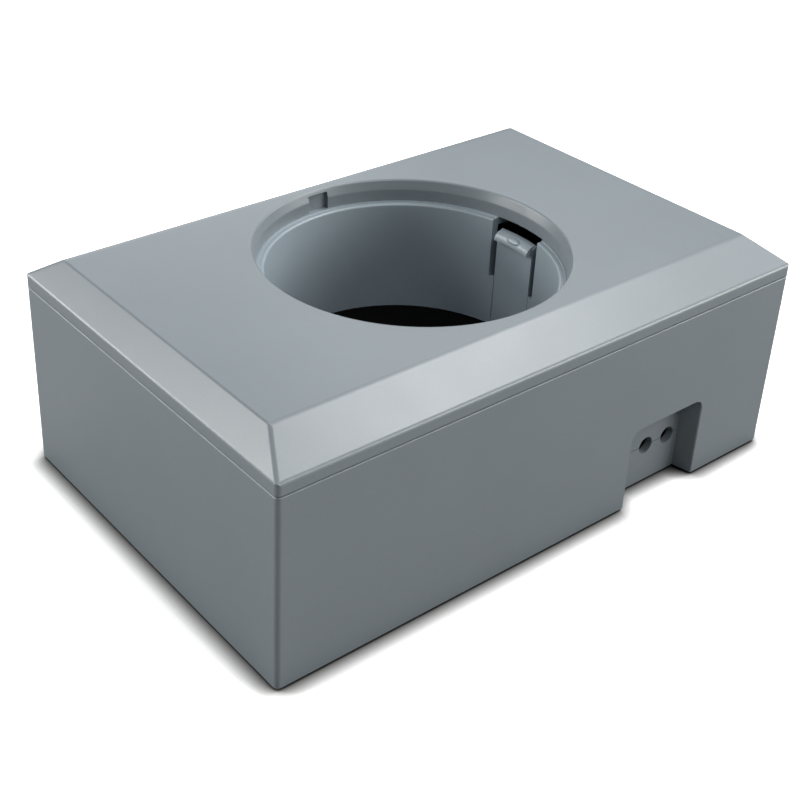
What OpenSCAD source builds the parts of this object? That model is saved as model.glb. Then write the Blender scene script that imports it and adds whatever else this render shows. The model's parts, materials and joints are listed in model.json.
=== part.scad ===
// Desktop socket housing: a chamfered box with a round snap-in socket in its cover and a cable bay.
// Millimetres. The origin is the middle of the footprint, on the surface the feet stand on.
// +X is to the right along the long side, +Y to the back and +Z up.

/* [Box] */
// Width of the box, left to right
box_w = 180; // [170:1:210]
// Depth of the box, front to back
box_d = 119; // [117:1:140]
// Height of the box above its feet
box_h = 66.4; // [64:0.2:80]
// Height of the walls, from the box's bottom edge to the parting line
wall_h = 56.5; // [54:0.5:56.5]
// Thickness of the walls and of the cover's top
wall = 2.5; // [2.2:0.1:2.8]
// Thickness of the base plate
base_t = 3; // [2.8:0.1:4]
// Radius of the upright outer edges
corner_r = 1.4; // [0.8:0.1:2]
// Gap at the parting line between the cover and the walls
seam = 0.4; // [0.2:0.1:0.5]

/* [Cover] */
// Height of the upright band below the slopes
band_h = 3.5; // [3:0.1:4]
// Width of the slope along the front
front_slope = 12.8; // [10:0.1:13]
// Width of the slope along the back
back_slope = 9.5; // [8:0.5:12]
// Width of the slope along each side
side_slope = 7; // [6:0.5:9]
// Radius of the edge between the band and the slopes
shoulder_r = 1.5; // [0.6:0.1:1.8]
// Radius of the edge between the front or back slope and the top
long_edge_r = 5; // [1:0.5:6]
// Radius of the edge between each side's slope and the top
side_edge_r = 1.2; // [0.6:0.1:3]
// Radius of the four hips, where two slopes meet
hip_r = 1.8; // [0.6:0.1:2.2]
// Radius of the walls' upper outer edge, just under the parting line
rim_r = 0.4; // [0.2:0.1:0.6]

/* [Socket] */
// Distance of the socket's axis behind the middle of the box
socket_y = 2.2; // [0:0.1:2.4]
// Radius of the opening in the top face
opening_r = 45; // [44.8:0.1:46]
// Radius of the upright throat under the sloped lead-in
throat_r = 43.6; // [43.2:0.1:44]
// Height of the sloped lead-in
lead_h = 3; // [2:0.1:3.2]
// Depth of the ledge below the top face
ledge_depth = 6.6; // [6.4:0.1:7.4]
// Inner radius of the sleeve
sleeve_r = 41.3; // [40.5:0.1:41.5]
// Height of the mat at the bottom of the socket, above the box's bottom edge
mat_top_h = 24.2; // [22:0.1:26]
// Width of the keyway in the throat
keyway_w = 7; // [4:0.5:10]
// Distance from the top face down to the roof of the keyway
keyway_roof = 1.2; // [1:0.1:1.6]
// Width of the cable passage in the socket's floor
passage_d = 24; // [16:1:30]

/* [Snap latches] */
// Width of each latch arm
arm_w = 14.7; // [10:0.1:16]
// Thickness of each latch arm
arm_t = 1.8; // [1.5:0.1:2]
// Width of the slot on each side of an arm
slot_w = 2.1; // [1.6:0.1:2.6]
// Height of the slots' lower ends above the box's bottom edge
slot_foot_h = 40.4; // [38:0.1:44]
// Height of the hook's lower edge above the box's bottom edge
hook_h = 54.1; // [52:0.1:54.5]
// How far the hook stands out of the sleeve's wall
hook_reach = 2; // [1.5:0.1:2.2]

/* [Cable bay] */
// Distance of the bay's middle to the right of the middle of the box
bay_x = 44.8; // [40:0.2:46]
// Width of the bay at the front wall
bay_w = 29; // [27:0.5:30]
// Height of the bay above the box's bottom edge
bay_h = 25.5; // [22:0.5:28]
// Depth of the bay
bay_depth = 6; // [5:0.5:7]
// How much narrower each side of the bay is at its inner wall
bay_draft = 1.2; // [0:0.1:1.5]
// Radius of the bay's upper corners
bay_corner_r = 2.4; // [1:0.1:4]
// Diameter of each cable hole
cable_d = 5.4; // [5:0.1:6]
// Distance between the two cable holes
cable_pitch = 9.1; // [8:0.1:10]
// Distance of the pair of holes to the right of the bay's middle
cable_shift = 3.9; // [0:0.1:4]
// Height of the cable holes above the box's bottom edge
cable_h = 12.5; // [11:0.1:14]

/* [Feet] */
// Height by which the feet stand out of the base
foot_h = 1; // [0.8:0.1:1.4]
// Radius of each foot
foot_r = 6; // [5:0.5:7]

/* [Hidden] */
$fn = 96;
small_fn = 40;
eps = 0.01;

// Heights above the surface the box stands on
bottom_z = foot_h;
parting_z = bottom_z + wall_h;
shoulder_z = parting_z + band_h;
top_z = bottom_z + box_h;
ledge_z = top_z - ledge_depth;
mat_z = bottom_z + mat_top_h;
base_top_z = bottom_z + base_t;
cable_z = bottom_z + cable_h;
rise = top_z - shoulder_z;

// Lip that locates the cover on the walls
lip_t = 1.2;
lip_h = 2;
lip_gap = 0.1;

// Screws, their holes and their brass inserts
thread_r = 1.5;
thread_gap = 0.05;
pass_r = 1.7;
head_r = 2.8;
head_h = 1.8;
drive_r = 1.2;
drive_h = 1.1;
head_sink = head_h + 0.2;
insert_r = 2.1;
insert_h = 5;
boss_r = 4;

// Screw places
cover_spots = [for (x = [-1, 1]) for (y = [-46, 47]) [x * 78, y]];
cover_seat_z = parting_z - 11;
cover_boss_z = cover_seat_z + 4;
base_spots = [[-50, -50.5], [8, -50.5], [-50, 50.5], [50, 50.5], [-82, 0], [82, 0]];
base_post_h = 12;
ear_r = 5;
ear_ring_r = 52;
ear_angles = [45, 135, 225, 315];
floor_ring_r = 48.5;
floor_angles = [90, 210, 330];

// Sleeve
sleeve_t = 2.2;
flange_r = 49.5;
flange_t = 2.5;
shelf_step = 0.3;
shelf_w = 1.6;
sleeve_edge_r = 0.6;
floor_t = 2.5;
mat_t = 1.5;
mat_gap = 0.2;
ring_t = 2.4;

// Latches
window_w = arm_w + 2 * slot_w;
slot_foot_z = bottom_z + slot_foot_h;
arm_foot_z = slot_foot_z + 0.4;
hook_z = bottom_z + hook_h;
hook_r = hook_reach + 0.75;
hook_w = arm_w - 1;
witness_w = 0.25;
witness_h = 0.15;

// Radii at the foot and at the top of the sloped lead-in
lead_foot_r = 2;
lead_edge_r = 0.8;

// Chamfer around the front edge of the bay
bay_chamfer = 0.3;

// Cable clamp
clamp_y = -38;
clamp_l = 8;
clamp_w = 36;
clamp_t = 5;
clamp_gap = 0.6;
clamp_screw_x = 14;
cable_x = bay_x + cable_shift;
bay_wall = 2.2;
bay_back_y = -box_d / 2 + bay_depth;

// Colours
shell_grey = [0.52, 0.55, 0.58];
sleeve_grey = [0.47, 0.50, 0.53];
dark = [0.03, 0.03, 0.03];
rubber_black = [0.06, 0.06, 0.06];
steel = [0.70, 0.70, 0.72];
brass = [0.78, 0.62, 0.30];

function unit(v) = v / norm(v);

// One corner of an outline, rounded with an arc of radius r
function soft_corner(a, b, c, r, steps = 8) =
    let (u = unit(a - b), v = unit(c - b), half = acos(u * v) / 2)
    let (centre = b + unit(u + v) * r / sin(half), reach = r / tan(half))
    let (from = b + u * reach - centre, to = b + v * reach - centre)
    let (start = atan2(from.y, from.x), turn = atan2(to.y, to.x) - start)
    let (sweep = turn > 180 ? turn - 360 : turn < -180 ? turn + 360 : turn)
    [for (i = [0:steps]) centre + r * [cos(start + sweep * i / steps), sin(start + sweep * i / steps)]];

// An outline in which each corner has its own radius, 0 for a sharp one
function softened(points, radii) =
    let (n = len(points))
    [for (i = [0:n - 1])
        let (arc = radii[i] == 0 ? [points[i]]
            : soft_corner(points[(i + n - 1) % n], points[i], points[(i + 1) % n], radii[i]))
        each arc];

// Half outline of the box's slopes: the skin at a distance inset inside the outer face
function shoulder_at(inset, run) = shoulder_z + inset * (rise / run - sqrt(1 + pow(rise / run, 2)));
function run_at(inset, run) = (rise - inset + inset * sqrt(1 + pow(rise / run, 2))) * run / rise;

function slope_outline(width, run_a, run_b, inset, low) = [
    [-width / 2 + inset, low],
    [-width / 2 + inset, shoulder_at(inset, run_a)],
    [-width / 2 + run_at(inset, run_a), top_z - inset],
    [width / 2 - run_at(inset, run_b), top_z - inset],
    [width / 2 - inset, shoulder_at(inset, run_b)],
    [width / 2 - inset, low]
];

module slab(w, d, r, h) {
    linear_extrude(h) {
        square([w - 2 * r, d], center = true);
        square([w, d - 2 * r], center = true);
        for (x = [-1, 1])
            for (y = [-1, 1])
                translate([x * (w / 2 - r), y * (d / 2 - r)]) circle(r);
    }
}

// Solid block with the sloped top, drawn a distance inset inside the outer skin
module hood(inset, low, shoulder = 0, long_edge = 0, side_edge = 0) {
    intersection() {
        rotate([90, 0, 90])
            linear_extrude(box_w + 2, center = true)
                polygon(softened(slope_outline(box_d, front_slope, back_slope, inset, low),
                    [0, shoulder, long_edge, long_edge, shoulder, 0]));
        rotate([90, 0, 0])
            linear_extrude(box_d + 2, center = true)
                polygon(softened(slope_outline(box_w, side_slope, side_slope, inset, low),
                    [0, shoulder, side_edge, side_edge, shoulder, 0]));
        translate([0, 0, low]) slab(box_w - 2 * inset, box_d - 2 * inset, corner_r, top_z - low + 1);
    }
}

// What is cut off each hip to round it, laid along the line where its two slopes meet
module hip_cutters() {
    for (x_side = [-1, 1])
        for (y_side = [-1, 1]) {
            run = y_side < 0 ? front_slope : back_slope;
            from = [x_side * box_w / 2, y_side * box_d / 2, shoulder_z];
            to = [x_side * (box_w / 2 - side_slope), y_side * (box_d / 2 - run), top_z];
            side_face = unit([x_side * rise, 0, side_slope]);
            long_face = unit([0, y_side * rise, run]);
            out = unit(side_face + long_face);
            along = unit(to - from);
            across = cross(along, out);
            half = acos(side_face * long_face) / 2;
            reach = hip_r / cos(half);
            arc = [for (i = [-4:4]) hip_r * [cos(half * i / 4), sin(half * i / 4)] - [reach, 0]];
            multmatrix([
                [out.x, across.x, along.x, from.x],
                [out.y, across.y, along.y, from.y],
                [out.z, across.z, along.z, from.z]
            ])
                translate([0, 0, -2])
                    linear_extrude(norm(to - from) + 4)
                        polygon(concat(arc, [arc[8] + [1, 1], [2, 0], arc[0] + [1, -1]]));
        }
}

module at_ring(ring_r, angles) {
    for (a = angles)
        translate([ring_r * cos(a), socket_y + ring_r * sin(a), 0]) children();
}

module at_spots(spots) {
    for (p = spots)
        translate([p.x, p.y, 0]) children();
}

// A screw whose head points down: the underside of the head is at z = 0 and the thread goes up
module screw_up(length) {
    difference() {
        union() {
            translate([0, 0, -head_h]) cylinder(r = head_r, h = head_h, $fn = small_fn);
            translate([0, 0, -eps]) cylinder(r = thread_r, h = length, $fn = small_fn);
        }
        translate([0, 0, -head_h - eps]) cylinder(r = drive_r, h = drive_h, $fn = 6);
    }
}

module insert() {
    difference() {
        cylinder(r = insert_r, h = insert_h, $fn = small_fn);
        translate([0, 0, -eps]) cylinder(r = thread_r + thread_gap, h = insert_h + 1, $fn = small_fn);
    }
}

module pocket(r, h) {
    translate([0, 0, -eps]) cylinder(r = r, h = h + eps, $fn = small_fn);
}

// Space cut for the opening, from below the ledge to above the top face
module throat_space() {
    low = [throat_r, ledge_z - 1];
    lead_foot = [throat_r, top_z - lead_h];
    lead_top = [opening_r - 0.4, top_z];
    lead = concat(
        soft_corner(low, lead_foot, lead_top, lead_foot_r),
        soft_corner(lead_foot, lead_top, lead_top + [20, 0], lead_edge_r));
    translate([0, socket_y, 0])
        rotate_extrude()
            polygon(concat([[0, low.y], low], lead, [[opening_r + 0.6, top_z + 4], [0, top_z + 4]]));
}

module keyway() {
    translate([-keyway_w / 2, socket_y, ledge_z - 1])
        cube([keyway_w, opening_r - 0.1, ledge_depth + 1 - keyway_roof]);
}

module top_cover() {
    color(shell_grey)
    difference() {
        union() {
            difference() {
                hood(0, parting_z + seam / 2, shoulder_r, long_edge_r, side_edge_r);
                hood(wall, parting_z - 1);
            }
            intersection() {
                hood(wall / 2, cover_boss_z);
                union() {
                    translate([0, socket_y, ledge_z]) cylinder(r = throat_r + ring_t, h = ledge_depth);
                    at_ring(ear_ring_r, ear_angles)
                        translate([0, 0, ledge_z]) cylinder(r = boss_r, h = ledge_depth);
                    at_spots(cover_spots)
                        translate([0, 0, cover_boss_z]) cylinder(r = boss_r, h = top_z - cover_boss_z);
                }
            }
        }
        // Rebate around the inside of the band, for the lip on the walls
        difference() {
            translate([0, 0, parting_z - 1])
                slab(box_w - 2 * lip_t, box_d - 2 * lip_t, corner_r, 1 + lip_h);
            translate([0, 0, parting_z - 2])
                slab(box_w - 2 * wall, box_d - 2 * wall, corner_r, 3 + lip_h);
        }
        hip_cutters();
        throat_space();
        keyway();
        at_ring(ear_ring_r, ear_angles)
            translate([0, 0, ledge_z]) pocket(thread_r + thread_gap, 5.5);
        at_spots(cover_spots)
            translate([0, 0, cover_boss_z]) pocket(thread_r + thread_gap, 10);
    }
}

// Outline of the bay seen from above, between the front wall and its inner wall
module bay_plan(grow, reach) {
    half = bay_w / 2 + grow;
    inner = half - bay_draft;
    polygon([
        [-half, -box_d / 2 - 1], [half, -box_d / 2 - 1], [half, -box_d / 2],
        [inner, bay_back_y + reach], [-inner, bay_back_y + reach], [-half, -box_d / 2]
    ]);
}

module bay_space() {
    intersection() {
        translate([bay_x, 0, 0]) linear_extrude(bottom_z + bay_h) bay_plan(0, 0);
        translate([bay_x, -box_d / 2 + bay_depth + 1, 0])
            rotate([90, 0, 0])
                linear_extrude(bay_depth + 4)
                    polygon(softened(
                        [[-bay_w / 2, -1], [bay_w / 2, -1], [bay_w / 2, bottom_z + bay_h],
                            [-bay_w / 2, bottom_z + bay_h]],
                        [0, 0, bay_corner_r, bay_corner_r]));
    }
}

// What the chamfer cuts off the two upright edges and the upper edge of the bay
module bay_edge_cutters() {
    side = bay_chamfer * sqrt(2);
    edge_h = bottom_z + bay_h - bay_corner_r;
    for (x_side = [-1, 1])
        translate([bay_x + x_side * bay_w / 2, -box_d / 2, edge_h / 2])
            rotate([0, 0, 45]) cube([side, side, edge_h], center = true);
    translate([bay_x, -box_d / 2, bottom_z + bay_h])
        rotate([45, 0, 0]) cube([bay_w - 2 * bay_corner_r, side, side], center = true);
}

module bay_block() {
    w = bay_w + 2 * bay_wall;
    translate([bay_x - w / 2, -box_d / 2 + 1, bottom_z])
        cube([w, bay_depth + bay_wall - 1, bay_h + bay_wall]);
}

module cable_holes(y_low, y_high, r) {
    for (side = [-1, 1])
        translate([cable_x + side * cable_pitch / 2, y_high, cable_z])
            rotate([90, 0, 0]) cylinder(r = r, h = y_high - y_low, $fn = 64);
}

// Outline of the walls seen from one side, with the rounded rim
module rim_outline(width) {
    rim_z = parting_z - seam / 2;
    polygon(softened(
        [[-width / 2, bottom_z], [width / 2, bottom_z], [width / 2, rim_z], [-width / 2, rim_z]],
        [0, 0, rim_r, rim_r]));
}

module wall_frame() {
    difference() {
        intersection() {
            rotate([90, 0, 90]) linear_extrude(box_w + 2, center = true) rim_outline(box_d);
            rotate([90, 0, 0]) linear_extrude(box_d + 2, center = true) rim_outline(box_w);
            translate([0, 0, bottom_z]) slab(box_w, box_d, corner_r, wall_h);
        }
        translate([0, 0, bottom_z - 1]) slab(box_w - 2 * wall, box_d - 2 * wall, corner_r, wall_h + 2);
    }
    lip_out = lip_t + lip_gap;
    translate([0, 0, parting_z - 4])
        difference() {
            slab(box_w - 2 * lip_out, box_d - 2 * lip_out, corner_r, 4 + lip_h - lip_gap);
            translate([0, 0, -1]) slab(box_w - 2 * wall, box_d - 2 * wall, corner_r, 8);
        }
}

// A post with a rib that ties it to the nearest wall
module post(spot, low, high) {
    to_side = abs(spot.x) > 70;
    translate([0, 0, low]) {
        translate([spot.x, spot.y, 0]) cylinder(r = boss_r, h = high - low, $fn = small_fn);
        if (to_side)
            translate([spot.x > 0 ? spot.x : -box_w / 2 + 1, spot.y - 1, 0])
                cube([box_w / 2 - 1 - abs(spot.x), 2, high - low]);
        if (!to_side || abs(spot.y) > 40)
            translate([spot.x - 1, spot.y > 0 ? spot.y : -box_d / 2 + 1, 0])
                cube([2, box_d / 2 - 1 - abs(spot.y), high - low]);
    }
}

module lower_housing() {
    color(shell_grey)
    difference() {
        union() {
            wall_frame();
            bay_block();
            for (p = cover_spots)
                post(p, base_top_z + 0.2, cover_boss_z);
            for (p = base_spots)
                post(p, base_top_z, base_top_z + base_post_h);
        }
        bay_space();
        bay_edge_cutters();
        // The base plate's upstand fills the lower half of the bay's inner wall
        translate([bay_x - bay_w / 2 + bay_draft, bay_back_y - 1, bottom_z - 1])
            cube([bay_w - 2 * bay_draft, bay_wall + 2, cable_h + 1.1]);
        cable_holes(bay_back_y - 1, bay_back_y + bay_wall + 1, cable_d / 2);
        at_spots(cover_spots) {
            translate([0, 0, bottom_z]) pocket(head_r + 0.5, cover_seat_z - bottom_z);
            translate([0, 0, bottom_z]) pocket(pass_r, parting_z);
        }
        at_spots(base_spots)
            translate([0, 0, base_top_z]) pocket(insert_r + thread_gap, base_post_h - 2);
    }
}

module base_outline() {
    gap = 0.2;
    difference() {
        translate([0, 0, bottom_z])
            slab(box_w - 2 * wall - 2 * gap, box_d - 2 * wall - 2 * gap, corner_r, base_t);
        translate([bay_x - bay_w / 2 - bay_wall - gap, -box_d / 2, bottom_z - 1])
            cube([bay_w + 2 * bay_wall + 2 * gap, bay_depth + bay_wall + gap, base_t + 2]);
    }
}

// Lower half of the bay's inner wall, and the strip that joins it to the base
module upstand() {
    gap = 0.1;
    w = bay_w - 2 * bay_draft - 2 * gap;
    translate([bay_x - w / 2, bay_back_y, bottom_z]) {
        cube([w, bay_wall, cable_h - gap]);
        cube([w, bay_wall + 1, base_t]);
    }
}

module clamp_saddle() {
    translate([cable_x - clamp_w / 2, clamp_y - clamp_l / 2, base_top_z - eps])
        cube([clamp_w, clamp_l, cable_z - clamp_gap - base_top_z]);
}

module foot_spots() {
    for (x = [-1, 1])
        for (y = [-1, 1])
            translate([x * (box_w / 2 - 16), y * (box_d / 2 - 22), 0]) children();
}

module base_plate() {
    color(shell_grey)
    difference() {
        union() {
            base_outline();
            upstand();
            clamp_saddle();
        }
        cable_holes(bay_back_y - 1, bay_back_y + bay_wall + 1, cable_d / 2);
        cable_holes(clamp_y - clamp_l, clamp_y + clamp_l, cable_d / 2);
        foot_spots() pocket(foot_r + 0.1, bottom_z + 1);
        at_spots(base_spots) {
            translate([0, 0, bottom_z - 1]) pocket(pass_r, base_t + 2);
            translate([0, 0, bottom_z - 1]) pocket(head_r + 0.3, head_sink + 1);
        }
        for (side = [-1, 1])
            translate([cable_x + side * clamp_screw_x, clamp_y, base_top_z])
                pocket(insert_r + thread_gap, cable_z);
    }
}

module cable_clamp() {
    color(shell_grey)
    difference() {
        translate([cable_x - clamp_w / 2, clamp_y - clamp_l / 2, cable_z + clamp_gap])
            cube([clamp_w, clamp_l, clamp_t]);
        cable_holes(clamp_y - clamp_l, clamp_y + clamp_l, cable_d / 2);
        for (side = [-1, 1])
            translate([cable_x + side * clamp_screw_x, clamp_y, cable_z]) pocket(pass_r, clamp_t + 5);
    }
}

module latch_windows(low, depth) {
    for (side = [-1, 1])
        translate([side > 0 ? sleeve_r - 4 : -sleeve_r + 4 - depth, socket_y - window_w / 2, low])
            cube([depth, window_w, top_z - low]);
}

// Fine upright mould lines that run on from the edges of each arm down to the floor
module witness_lines() {
    edge_x = sqrt(pow(sleeve_r, 2) - pow(arm_w / 2, 2)) + witness_h;
    for (side = [-1, 1])
        for (y = [-1, 1])
            translate([side > 0 ? edge_x - 2 : -edge_x, socket_y + (y * arm_w - witness_w) / 2, mat_z - 5])
                cube([2, witness_w, slot_foot_z - mat_z + 6]);
}

module socket_sleeve() {
    low = mat_z - mat_t;
    shelf_r = sleeve_r + shelf_w;
    outer_r = sleeve_r + sleeve_t;
    profile = softened(
        [
            [sleeve_r, low], [sleeve_r, ledge_z - shelf_step], [shelf_r, ledge_z - shelf_step],
            [shelf_r + 0.1, ledge_z], [flange_r, ledge_z], [flange_r, ledge_z - flange_t],
            [outer_r, ledge_z - flange_t], [outer_r, low + flange_t], [outer_r + 2, low + flange_t],
            [outer_r + 2, low]
        ],
        [0, sleeve_edge_r, 0, 0, 0, 0, 0, 0, 0, 0]);
    color(sleeve_grey)
    difference() {
        union() {
            translate([0, socket_y, 0]) rotate_extrude() polygon(profile);
            at_ring(ear_ring_r, ear_angles)
                translate([0, 0, ledge_z - flange_t]) cylinder(r = ear_r, h = flange_t);
            at_ring(floor_ring_r, floor_angles)
                translate([0, 0, low]) cylinder(r = boss_r, h = 9);
            for (a = floor_angles)
                translate([0, socket_y, low])
                    rotate([0, 0, a])
                        translate([sleeve_r + 1, -1.5, 0]) cube([floor_ring_r - sleeve_r - 1, 3, 9]);
        }
        latch_windows(slot_foot_z, 20);
        witness_lines();
        at_ring(ear_ring_r, ear_angles)
            translate([0, 0, ledge_z - flange_t - 1]) pocket(pass_r, flange_t + 2);
        at_ring(floor_ring_r, floor_angles)
            translate([0, 0, low]) pocket(thread_r + thread_gap, 8);
    }
}

module latch_arm() {
    arc_mid = [sleeve_r - hook_reach + hook_r, hook_z];
    hook = [for (i = [0:12]) arc_mid + hook_r * [-cos(i * 7.5), sin(i * 7.5)]];
    arm_top_z = hook_z + hook_r;
    color(sleeve_grey)
    union() {
        intersection() {
            rotate_extrude()
                polygon([
                    [sleeve_r, arm_foot_z], [sleeve_r + arm_t, arm_foot_z], [sleeve_r + arm_t, arm_top_z],
                    [arc_mid.x, arm_top_z], [sleeve_r, hook_z + 2]
                ]);
            translate([sleeve_r - 5, -arm_w / 2, arm_foot_z]) cube([12, arm_w, 40]);
        }
        intersection() {
            rotate_extrude() polygon(concat(hook, [[sleeve_r + arm_t - 0.1, arm_top_z],
                [sleeve_r + arm_t - 0.1, hook_z]]));
            translate([sleeve_r - 5, -hook_w / 2, arm_foot_z]) cube([12, hook_w, 40]);
        }
    }
}

module latch_arm_right() {
    translate([0, socket_y, 0]) latch_arm();
}

module latch_arm_left() {
    translate([0, socket_y, 0]) rotate([0, 0, 180]) latch_arm();
}

module socket_floor() {
    low = mat_z - mat_t - floor_t;
    color(dark)
    difference() {
        translate([0, 0, low]) {
            translate([0, socket_y, 0]) cylinder(r = sleeve_r + sleeve_t + 2, h = floor_t);
            at_ring(floor_ring_r, floor_angles) cylinder(r = boss_r, h = floor_t);
        }
        translate([0, socket_y, low - 1]) cylinder(d = passage_d, h = floor_t + 2);
        at_ring(floor_ring_r, floor_angles)
            translate([0, 0, low - 1]) pocket(pass_r, floor_t + 2);
    }
}

module socket_mat() {
    color(rubber_black)
    translate([0, socket_y, mat_z - mat_t])
        difference() {
            cylinder(r = sleeve_r - mat_gap, h = mat_t);
            translate([0, 0, -1]) cylinder(d = passage_d, h = mat_t + 2);
        }
}

module cover_screws() {
    color(steel)
    at_spots(cover_spots)
        translate([0, 0, cover_seat_z]) screw_up(12);
}

module sleeve_screws() {
    color(steel)
    at_ring(ear_ring_r, ear_angles)
        translate([0, 0, ledge_z - flange_t]) screw_up(7.5);
}

module floor_screws() {
    color(steel)
    at_ring(floor_ring_r, floor_angles)
        translate([0, 0, mat_z - mat_t - floor_t]) screw_up(9);
}

module base_screws() {
    color(steel)
    at_spots(base_spots)
        translate([0, 0, bottom_z + head_sink]) screw_up(7);
}

module base_inserts() {
    color(brass)
    at_spots(base_spots)
        translate([0, 0, base_top_z]) insert();
}

module clamp_screws() {
    color(steel)
    for (side = [-1, 1])
        translate([cable_x + side * clamp_screw_x, clamp_y, cable_z + clamp_gap + clamp_t])
            rotate([180, 0, 0]) screw_up(10);
}

module clamp_inserts() {
    color(brass)
    for (side = [-1, 1])
        translate([cable_x + side * clamp_screw_x, clamp_y, cable_z - clamp_gap - insert_h]) insert();
}

module foot(x_side, y_side) {
    outline = softened([[0, 0], [foot_r, 0], [foot_r, foot_h + 1], [0, foot_h + 1]], [0, 0.5, 0, 0]);
    color(rubber_black)
    translate([x_side * (box_w / 2 - 16), y_side * (box_d / 2 - 22), 0])
        rotate_extrude($fn = 64) polygon(outline);
}

top_cover();
lower_housing();
base_plate();
socket_sleeve();
latch_arm_right();
latch_arm_left();
socket_floor();
socket_mat();
cable_clamp();
cover_screws();
sleeve_screws();
floor_screws();
base_screws();
base_inserts();
clamp_screws();
clamp_inserts();
foot(-1, -1);  // foot_front_left
foot(1, -1);  // foot_front_right
foot(-1, 1);  // foot_back_left
foot(1, 1);  // foot_back_right
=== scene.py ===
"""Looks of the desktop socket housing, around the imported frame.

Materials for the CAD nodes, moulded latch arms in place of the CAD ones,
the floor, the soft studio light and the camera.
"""
import json
import math

import bmesh
import bpy
from mathutils import Matrix, Vector


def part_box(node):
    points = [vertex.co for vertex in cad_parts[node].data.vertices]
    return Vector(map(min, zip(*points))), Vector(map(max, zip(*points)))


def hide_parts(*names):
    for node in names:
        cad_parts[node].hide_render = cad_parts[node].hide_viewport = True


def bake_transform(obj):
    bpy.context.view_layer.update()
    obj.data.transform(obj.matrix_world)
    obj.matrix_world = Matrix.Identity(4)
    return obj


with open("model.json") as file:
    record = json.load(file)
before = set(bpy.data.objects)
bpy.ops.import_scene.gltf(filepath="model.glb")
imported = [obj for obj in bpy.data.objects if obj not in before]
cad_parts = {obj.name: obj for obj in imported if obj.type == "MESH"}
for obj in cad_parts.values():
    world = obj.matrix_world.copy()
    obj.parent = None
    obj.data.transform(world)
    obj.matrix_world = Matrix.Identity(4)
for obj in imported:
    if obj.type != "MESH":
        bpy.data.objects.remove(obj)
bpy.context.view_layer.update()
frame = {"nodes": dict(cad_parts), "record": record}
MM = 0.001

# ---------------------------------------------------------------- camera
CAMERA_PLACE = Vector((-234.2, -261.8, 246.5)) * MM
CAMERA_AZIMUTH = 38.67  # degrees from +Y towards +X
CAMERA_DOWN = 29.39  # degrees below level
CAMERA_ROLL = 1.75
LENS = 63.79
SHIFT = (0.0671, -0.1196)


def make_camera():
    data = bpy.data.cameras.new("view_camera")
    data.sensor_width = 36.0
    data.lens = LENS
    data.shift_x, data.shift_y = SHIFT
    data.clip_start = 0.01
    data.clip_end = 30.0
    camera = bpy.data.objects.new("view_camera", data)
    bpy.context.scene.collection.objects.link(camera)
    turn = Matrix.Rotation(math.radians(-CAMERA_AZIMUTH), 4, "Z")
    tilt = Matrix.Rotation(math.radians(90 - CAMERA_DOWN), 4, "X")
    roll = Matrix.Rotation(math.radians(CAMERA_ROLL), 4, "Z")
    camera.matrix_world = Matrix.Translation(CAMERA_PLACE) @ turn @ tilt @ roll
    bpy.context.scene.camera = camera


make_camera()


# ---------------------------------------------------------------- materials
class Nodes:
    """A small builder for one material's node tree."""

    def __init__(self, name):
        self.material = bpy.data.materials.new(name)
        self.material.use_nodes = True
        self.tree = self.material.node_tree
        self.shader = self.tree.nodes["Principled BSDF"]
        self.place = self.add("ShaderNodeTexCoord").outputs["Object"]

    def add(self, kind, inputs=None, **settings):
        node = self.tree.nodes.new(kind)
        for key, value in settings.items():
            setattr(node, key, value)
        for key, value in (inputs or {}).items():
            if isinstance(value, bpy.types.NodeSocket):
                self.tree.links.new(value, node.inputs[key])
            else:
                node.inputs[key].default_value = value
        return node

    def noise(self, feature_mm, detail=2.0, stretch=(1, 1, 1)):
        """Noise whose features are about feature_mm across."""
        mapping = self.add("ShaderNodeMapping", {"Vector": self.place})
        mapping.inputs["Scale"].default_value = [s / (feature_mm * MM) for s in stretch]
        inputs = {"Vector": mapping.outputs["Vector"], "Scale": 1.0, "Detail": detail}
        node = self.add("ShaderNodeTexNoise", inputs)
        return node.outputs["Fac"]

    def spread(self, value, low, high, from_low=0.3, from_high=0.7):
        """A value from one range mapped onto low to high; by default from the middle of a noise."""
        inputs = {"Value": value, "From Min": from_low, "From Max": from_high, "To Min": low, "To Max": high}
        return self.add("ShaderNodeMapRange", inputs).outputs["Result"]

    def tint(self, value, dark, light):
        """A colour between dark and light, by a value from 0 to 1."""
        node = self.add("ShaderNodeMix", data_type="RGBA")
        self.tree.links.new(value, node.inputs["Factor"])
        node.inputs["A"].default_value = (*dark, 1)
        node.inputs["B"].default_value = (*light, 1)
        return node.outputs["Result"]

    def link(self, socket, name):
        self.tree.links.new(socket, self.shader.inputs[name])

    def bump(self, height, depth_mm, below=None):
        inputs = {"Height": height, "Strength": 1.0, "Distance": depth_mm * MM}
        node = self.add("ShaderNodeBump", inputs)
        if below is not None:
            self.tree.links.new(below, node.inputs["Normal"])
        return node.outputs["Normal"]


def shade(colour, share):
    return tuple(c * share for c in colour)


# Moulded plastic
CLOUD_MM = 28  # size of its faint cloudiness
CLOUD_SHARE = 0.6  # the cloudiness's share of the change in colour; the specks have the rest
SPECK_SIZE = 1.7  # size of a speck of colour, in grains
DARKEST = 0.965  # the colour changes between these two shares of itself
LIGHTEST = 1.035
GLOSS_MM = 9  # size of the patches of slightly uneven gloss
GLOSS_SPREAD = 0.012  # how far the roughness changes each way
DRAW_MARK_MM = 0.8
DRAW_MARK_DEPTH_MM = 0.003
DRAW_MARK_STRETCH = (1, 1, 0.02)  # long along Z
# Rubber
RUBBER_CLOUD_MM = 3
RUBBER_GLOSS_MM = 1.2
PEBBLE_MM = 0.35
PEBBLE_DEPTH_MM = 0.03
# Metal
METAL_CLOUD_MM = 2
METAL_GLOSS_MM = 0.5
TOOL_MARK_MM = 0.25
TOOL_MARK_DEPTH_MM = 0.006


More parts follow.
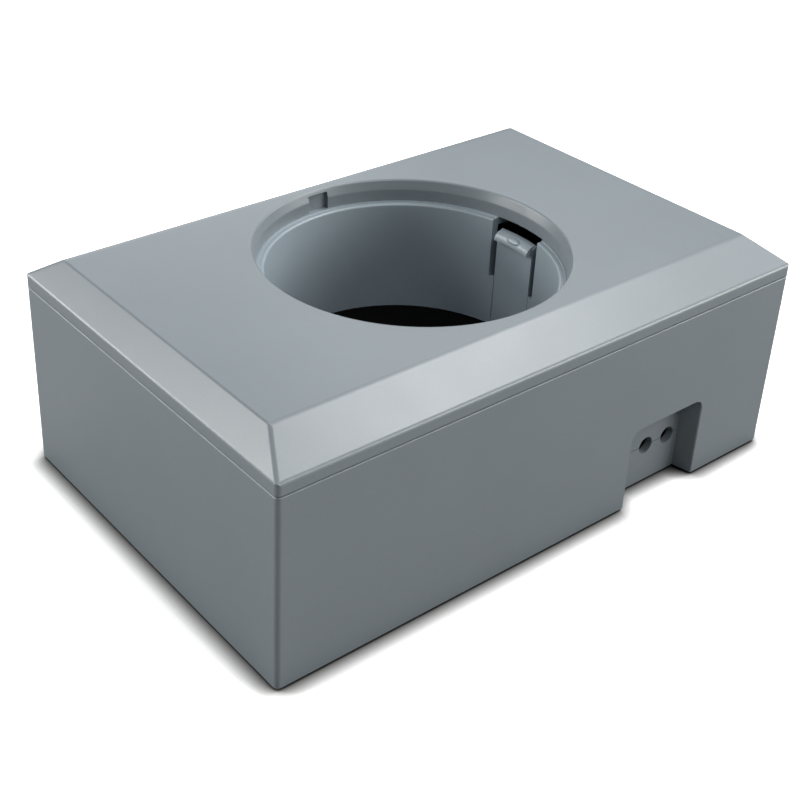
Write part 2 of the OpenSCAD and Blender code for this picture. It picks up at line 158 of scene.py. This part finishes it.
def moulded_plastic(name, colour, roughness, grain_mm, grain_depth_mm, streak=False, gloss=0.5):
    """Moulded plastic with a fine eroded grain, faint cloudiness and slightly uneven gloss."""
    n = Nodes(name)
    n.shader.inputs["Specular IOR Level"].default_value = gloss
    cloud = n.noise(CLOUD_MM, 3)
    speck = n.noise(grain_mm * SPECK_SIZE, 1)
    shares = {0: n.spread(cloud, 0, CLOUD_SHARE), 1: n.spread(speck, 0, 1 - CLOUD_SHARE)}
    mixed = n.add("ShaderNodeMath", shares, operation="ADD")
    n.link(n.tint(mixed.outputs[0], shade(colour, DARKEST), shade(colour, LIGHTEST)), "Base Color")
    uneven = n.spread(n.noise(GLOSS_MM, 3), roughness - GLOSS_SPREAD, roughness + GLOSS_SPREAD)
    n.link(uneven, "Roughness")
    grain = n.bump(n.noise(grain_mm, 2), grain_depth_mm)
    if streak:
        # Faint upright draw marks left by the mould
        marks = n.noise(DRAW_MARK_MM, 2, DRAW_MARK_STRETCH)
        grain = n.bump(marks, DRAW_MARK_DEPTH_MM, below=grain)
    n.link(grain, "Normal")
    return n.material


def rubber(name, colour, roughness, gloss=0.5):
    """Matt rubber with a fine pebbled surface."""
    n = Nodes(name)
    n.shader.inputs["Specular IOR Level"].default_value = gloss
    cloud = n.spread(n.noise(RUBBER_CLOUD_MM, 3), 0, 1)
    n.link(n.tint(cloud, shade(colour, 0.8), shade(colour, 1.2)), "Base Color")
    n.link(n.spread(n.noise(RUBBER_GLOSS_MM, 2), roughness - 0.06, roughness + 0.04), "Roughness")
    n.link(n.bump(n.noise(PEBBLE_MM, 2), PEBBLE_DEPTH_MM), "Normal")
    return n.material


def metal(name, colour, roughness, stretch):
    """Turned or plated metal with fine tool marks."""
    n = Nodes(name)
    n.shader.inputs["Metallic"].default_value = 1.0
    cloud = n.spread(n.noise(METAL_CLOUD_MM, 3), 0, 1)
    n.link(n.tint(cloud, shade(colour, 0.92), shade(colour, 1.05)), "Base Color")
    n.link(n.spread(n.noise(METAL_GLOSS_MM, 2, stretch), roughness - 0.08, roughness + 0.08), "Roughness")
    n.link(n.bump(n.noise(TOOL_MARK_MM, 2, stretch), TOOL_MARK_DEPTH_MM), "Normal")
    return n.material


SHELL_COLOUR = (0.176, 0.204, 0.224)
SLEEVE_COLOUR = (0.262, 0.312, 0.348)
MATERIALS = {
    "shell": moulded_plastic("shell_plastic", SHELL_COLOUR, 0.32, 0.45, 0.004),
    "sleeve": moulded_plastic("sleeve_plastic", SLEEVE_COLOUR, 0.34, 0.45, 0.004, streak=True),
    "floor": moulded_plastic("floor_plastic", (0.004, 0.004, 0.004), 0.7, 0.5, 0.006, gloss=0.1),
    "mat": rubber("mat_rubber", (0.0015, 0.0015, 0.0015), 0.9, gloss=0.08),
    "screw_steel": metal("screw_steel", (0.62, 0.62, 0.64), 0.32, (1, 1, 0.1)),
    "insert_brass": metal("insert_brass", (0.62, 0.42, 0.16), 0.3, (0.1, 0.1, 1)),
    "foot_rubber": rubber("foot_rubber", (0.02, 0.02, 0.02), 0.75),
}


def dress_nodes():
    slots = {part["node"]: part["material_slot"] for part in frame["record"]["subparts"]}
    for name, obj in frame["nodes"].items():
        obj.data.materials.clear()
        obj.data.materials.append(MATERIALS[slots[name]])


dress_nodes()


# ---------------------------------------------------------------- latch arms
HOOK_REACH = 2.0 * MM  # how far the hook stands into the socket
HOOK_R = 2.75 * MM  # radius of the hook's rounded nose
HOOK_INSET = 0.5 * MM  # how much narrower the hook is than the arm, on each side
SHOULDER_DROP = 0.9 * MM  # how far the arm's inner edge beside the hook stops below its top
ROOT_DIP = 0.8 * MM  # how far the arm's foot goes down to meet the sleeve
PIP_HALF = (2.7 * MM, 1.0 * MM)  # half sizes of the oval pip on the nose
PIP_HEIGHT = 0.4 * MM
PIP_STEEPNESS = 2.2  # how fast the pip's sides rise to its flat top
MAT_GAP = 0.2 * MM  # the mat's edge to the arm's inner face
NOSE_STEPS = 22
FACE_STEPS = 16
HOOK_STEPS = 54
SIDE_STEP = 0.01 * MM  # the hook's side faces lean by this
MERGE_GAP = 0.002 * MM  # points nearer to each other than this become one
ARM_BEVEL = 0.12 * MM
BEVEL_FROM = math.radians(40)  # edges that turn by more than this are rounded


def latch_sections(inner_r, outer_r, foot, top, width):
    """Closed outlines (r, z) of the arm from one side to the other, all with as many points."""
    hook_z = top - HOOK_R
    hook_mid = inner_r - HOOK_REACH + HOOK_R
    half = width / 2
    hook_half = half - HOOK_INSET
    across = [-half, -hook_half - SIDE_STEP]
    across += [-hook_half + 2 * hook_half * i / HOOK_STEPS for i in range(HOOK_STEPS + 1)]
    across += [hook_half + SIDE_STEP, half]
    sections = []
    for y in across:
        outline = [(inner_r, foot + (hook_z - foot) * i / FACE_STEPS) for i in range(FACE_STEPS)]
        if abs(y) <= hook_half:
            outline.append((inner_r, hook_z))
            for i in range(NOSE_STEPS + 1):
                angle = math.pi / 2 * i / NOSE_STEPS
                along = (angle - math.pi / 4) * HOOK_R
                near = 1 - (y / PIP_HALF[0]) ** 2 - (along / PIP_HALF[1]) ** 2
                lift = PIP_HEIGHT * min(1.0, PIP_STEEPNESS * near) if near > 0 else 0.0
                reach = HOOK_R + lift
                outline.append((hook_mid - reach * math.cos(angle), hook_z + reach * math.sin(angle)))
        else:
            for i in range(NOSE_STEPS + 2):
                z = hook_z + (top - SHOULDER_DROP - hook_z) * i / (NOSE_STEPS + 1)
                outline.append((inner_r, z))
        outline.append((outer_r, top))
        outline += [(outer_r, top + (foot - top) * (i + 1) / FACE_STEPS) for i in range(FACE_STEPS)]
        sections.append((y, outline))
    return sections


def make_latch(name, node, side, axis_xy):
    """One moulded arm in place of a CAD one: side is 1 on the right and -1 on the left."""
    low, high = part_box(node)
    far = max(abs(low.x - axis_xy[0]), abs(high.x - axis_xy[0]))
    mat_low, mat_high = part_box("socket_mat")
    inner_r = (mat_high.x - mat_low.x) / 2 + MAT_GAP
    sections = latch_sections(inner_r, far, low.z - ROOT_DIP, high.z, high.y - low.y)
    mesh = bpy.data.meshes.new(name)
    bm = bmesh.new()
    rings = []
    for y, outline in sections:
        ring = []
        for r, z in outline:
            x = math.sqrt(r * r - y * y)
            ring.append(bm.verts.new((axis_xy[0] + side * x, axis_xy[1] + side * y, z)))
        rings.append(ring)
    for a, b in zip(rings, rings[1:]):
        for i in range(len(a)):
            j = (i + 1) % len(a)
            bm.faces.new((a[i], a[j], b[j], b[i]))
    bm.faces.new(rings[0])
    bm.faces.new(list(reversed(rings[-1])))
    bmesh.ops.remove_doubles(bm, verts=bm.verts, dist=MERGE_GAP)
    bmesh.ops.recalc_face_normals(bm, faces=bm.faces)
    bm.to_mesh(mesh)
    bm.free()
    obj = bpy.data.objects.new(name, mesh)
    bpy.context.scene.collection.objects.link(obj)
    bevel = obj.modifiers.new("edge", "BEVEL")
    bevel.width = ARM_BEVEL
    bevel.segments = 2
    bevel.limit_method = "ANGLE"
    bevel.angle_limit = BEVEL_FROM
    bpy.context.view_layer.update()
    bevelled = obj.evaluated_get(bpy.context.evaluated_depsgraph_get())
    final = bpy.data.meshes.new_from_object(bevelled)
    obj.modifiers.clear()
    obj.data = final
    for polygon in final.polygons:
        polygon.use_smooth = True
    final.materials.append(MATERIALS["sleeve"])
    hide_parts(node)
    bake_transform(obj)


def socket_axis():
    low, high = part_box("socket_mat")
    return ((low.x + high.x) / 2, (low.y + high.y) / 2)


AXIS = socket_axis()
make_latch("latch_spring_right", "latch_arm_right", 1, AXIS)
make_latch("latch_spring_left", "latch_arm_left", -1, AXIS)


# ---------------------------------------------------------------- floor, light
FLOOR_SIZE = 6.0  # metres from the middle to each side
FLOOR_WHITE = 1.5  # how white the floor is where the camera sees it; over 1 is over-exposed
FLOOR_BOUNCE = 0.3  # and how white it is for the light that it throws back up
PAINTED_SHADOW_REACH = 6 * MM  # width of the shadow painted into the floor's colour where the box meets the floor
PAINTED_SHADOW_POWER = 3.0  # the higher, the darker that painted shadow
FLOOR_CLOUD_MM = 60


def make_floor():
    mesh = bpy.data.meshes.new("floor")
    corners = [(x * FLOOR_SIZE, y * FLOOR_SIZE, 0) for x, y in ((-1, -1), (1, -1), (1, 1), (-1, 1))]
    mesh.from_pydata(corners, [], [(0, 1, 2, 3)])
    floor = bpy.data.objects.new("studio_floor", mesh)
    bpy.context.scene.collection.objects.link(floor)
    n = Nodes("studio_floor")
    pale = n.tint(n.spread(n.noise(FLOOR_CLOUD_MM, 2), 0, 1), (0.96, 0.96, 0.96), (1.0, 1.0, 1.0))
    # Over-exposed white where it is seen, as on a product table, yet throwing little light back up
    path = n.add("ShaderNodeLightPath")
    share = n.spread(path.outputs["Is Camera Ray"], FLOOR_BOUNCE, FLOOR_WHITE, 0, 1)
    # A contact shadow painted into the floor's colour where the box meets the table: ambient occlusion,
    # raised to a power, darkens it
    near = n.add("ShaderNodeAmbientOcclusion", {"Distance": PAINTED_SHADOW_REACH}).outputs["AO"]
    dark = n.add("ShaderNodeMath", {0: near, 1: PAINTED_SHADOW_POWER}, operation="POWER").outputs[0]
    share = n.add("ShaderNodeMath", {0: share, 1: dark}, operation="MULTIPLY").outputs[0]
    white = n.add("ShaderNodeVectorMath", {0: pale, 1: share}, operation="MULTIPLY")
    n.link(white.outputs[0], "Base Color")
    n.shader.inputs["Roughness"].default_value = 0.9
    n.shader.inputs["Specular IOR Level"].default_value = 0.0
    mesh.materials.append(n.material)


make_floor()

COOL = (0.95, 0.985, 1.0)
PLAIN = (1.0, 1.0, 1.0)
WARM = (1.0, 0.985, 0.95)
# Each light: name, place, point it faces, width, height, watts, colour
LIGHTS = [
    ("front_slope", (0.78, -0.05, 1.2), (0, -0.05, 0.06), 0.8, 0.4, 12.4, PLAIN),
    ("over_front", (0, -0.7, 1.15), (0, 0, 0.05), 0.7, 0.5, 5.0, PLAIN),
    ("over_left", (-0.8, 0.1, 1.1), (0, 0, 0.05), 0.6, 0.6, 0.6, PLAIN),
    ("back_left_high", (-1.0, 0.8, 0.9), (0, 0, 0.05), 0.5, 0.5, 9.6, PLAIN),
    ("back_right_high", (1.0, 0.9, 1.0), (0, 0, 0.05), 0.6, 0.6, 2.2, COOL),
    ("right", (1.35, -0.1, 0.75), (0, 0, 0.05), 0.6, 0.6, 3.6, COOL),
    ("right_front", (1.15, -0.8, 0.42), (0, 0, 0.05), 0.5, 0.5, 7.4, WARM),
    ("front_right_low", (0.76, -1.06, 0.5), (0, 0, 0.05), 0.5, 0.5, 6.5, WARM),
    ("left_low", (-1.3, 0.5, 0.3), (0, 0, 0.05), 0.5, 0.4, 4.6, WARM),
    ("back_left_low", (-0.9, 1.1, 0.35), (0, 0, 0.05), 0.5, 0.5, 8.8, WARM),
    ("back", (0.61, 1.48, 0.55), (0, 0, 0.1), 0.9, 0.8, 3.6, COOL),
]


def make_lights():
    for name, place, target, width, height, watts, colour in LIGHTS:
        data = bpy.data.lights.new(name, "AREA")
        data.shape = "RECTANGLE"
        data.size = width
        data.size_y = height
        data.energy = watts
        data.color = colour
        light = bpy.data.objects.new(name, data)
        light.location = place
        aim = Vector(target) - Vector(place)
        light.rotation_euler = aim.to_track_quat("-Z", "Y").to_euler()
        bpy.context.scene.collection.objects.link(light)


make_lights()


WORLD_LIGHT = 0.08  # the surroundings as a light
WORLD_SEEN = 1.0  # and as the camera sees them


def make_world():
    """White where the camera sees past the floor, and faint as a light."""
    world = bpy.data.worlds.new("studio")
    world.use_nodes = True
    tree = world.node_tree
    background = tree.nodes["Background"]
    background.inputs["Color"].default_value = (1, 1, 1, 1)
    path = tree.nodes.new("ShaderNodeLightPath")
    strength = tree.nodes.new("ShaderNodeMapRange")
    strength.inputs["To Min"].default_value = WORLD_LIGHT
    strength.inputs["To Max"].default_value = WORLD_SEEN
    tree.links.new(path.outputs["Is Camera Ray"], strength.inputs["Value"])
    tree.links.new(strength.outputs["Result"], background.inputs["Strength"])
    bpy.context.scene.world = world
    bpy.context.scene.view_settings.view_transform = "Standard"


make_world()
